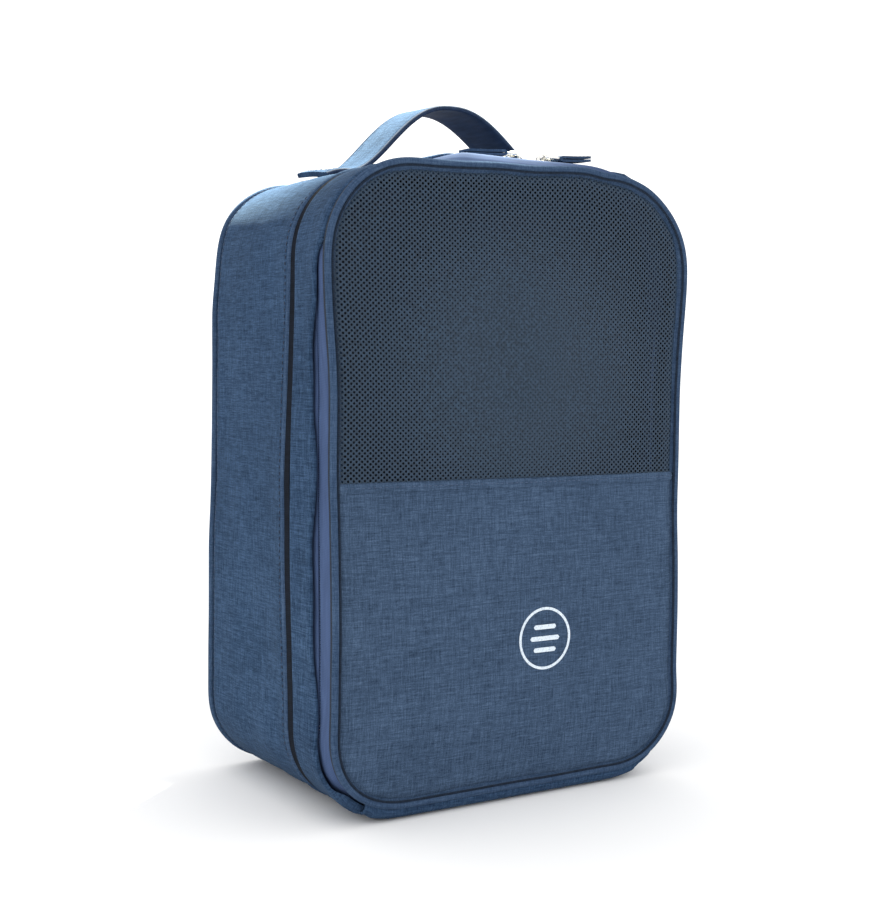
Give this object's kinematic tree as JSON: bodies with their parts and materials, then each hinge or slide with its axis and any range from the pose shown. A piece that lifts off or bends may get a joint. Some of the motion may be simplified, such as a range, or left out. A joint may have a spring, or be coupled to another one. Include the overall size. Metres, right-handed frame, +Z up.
{
  "type": "shoe bag",
  "caption": "Upright zipped shoe bag with rounded corners, a piped lid with a net window, an inner divider and a top handle.",
  "frame": {"origin": "middle of the base, on the floor", "axes": "+Z up; -Y out through the lid; +X to the right of someone who faces the lid"},
  "size_m": [0.2, 0.13, 0.338],
  "materials": {
    "melange_cloth": "two-tone woven polyester, matt",
    "plain_cloth": "plain woven polyester, matt",
    "net": "fine warp-knit net",
    "zip_tape": "smooth woven tape",
    "zip_coil": "nylon coil",
    "lining": "thin coated cloth",
    "binding": "woven tape",
    "foam": "closed-cell foam sheet",
    "zip_metal": "nickel-plated die-cast zinc",
    "print": "transfer print"
  },
  "bodies": {
    "bag": {"rear_gusset": "melange_cloth", "gusset_foam": "foam", "gusset_lining": "lining", "back_panel": "melange_cloth", "back_foam": "foam", "back_lining": "lining", "rear_binding": "binding", "rear_piping": "plain_cloth", "mid_piping": "plain_cloth", "mid_binding": "binding", "front_gusset": "melange_cloth", "strip_lining": "lining", "body_zip_tape": "zip_tape", "body_zip_coil": "zip_coil", "hinge_panel": "plain_cloth", "zip_end_stops": "zip_metal", "handle_sleeve": "melange_cloth", "handle_core": "binding"},
    "lid": {"lid_piping": "plain_cloth", "net_window": "net", "lower_panel": "melange_cloth", "lower_foam": "foam", "lower_lining": "lining", "window_hem": "melange_cloth", "lid_zip_tape": "zip_tape", "lid_zip_coil": "zip_coil", "lid_binding": "binding", "emblem": "print"},
    "divider": {"divider_front": "lining", "divider_foam": "foam", "divider_rear": "lining", "divider_binding": "binding", "divider_loop": "plain_cloth"},
    "zip_slider_left": {"slider_left": "zip_metal"},
    "zip_pull_left": {"pull_ring_left": "zip_metal", "pull_tab_left": "plain_cloth"},
    "zip_slider_right": {"slider_right": "zip_metal"},
    "zip_pull_right": {"pull_ring_right": "zip_metal", "pull_tab_right": "plain_cloth"}
  },
  "joints": [
    {"name": "lid_hinge", "type": "hinge", "parent": "bag", "child": "lid", "pos_m": [0, -0.059, 0.008], "axis": [1, 0, 0], "range_deg": [0, 90], "deforming": ["hinge_panel"]},
    {"name": "divider_hinge", "type": "hinge", "parent": "bag", "child": "divider", "pos_m": [0, -0.029, 0.012], "axis": [1, 0, 0], "range_deg": [0, 54]},
    {"name": "slider_left_slide", "type": "slide", "parent": "bag", "child": "zip_slider_left", "axis": [-1, 0, 0], "range_m": [0, 0.03]},
    {"name": "pull_left_turn", "type": "hinge", "parent": "zip_slider_left", "child": "zip_pull_left", "pos_m": [0.007, -0.047, 0.308], "axis": [0, 1, 0], "range_deg": [0, 100]},
    {"name": "slider_right_slide", "type": "slide", "parent": "bag", "child": "zip_slider_right", "axis": [1, 0, 0], "range_m": [0, 0.0135]},
    {"name": "pull_right_turn", "type": "hinge", "parent": "zip_slider_right", "child": "zip_pull_right", "pos_m": [0.025, -0.047, 0.308], "axis": [0, -1, 0], "range_deg": [0, 100]}
  ],
  "couplings": [
    {"joint": "divider_hinge", "follows": "lid_hinge", "ratio": 0.6}
  ]
}
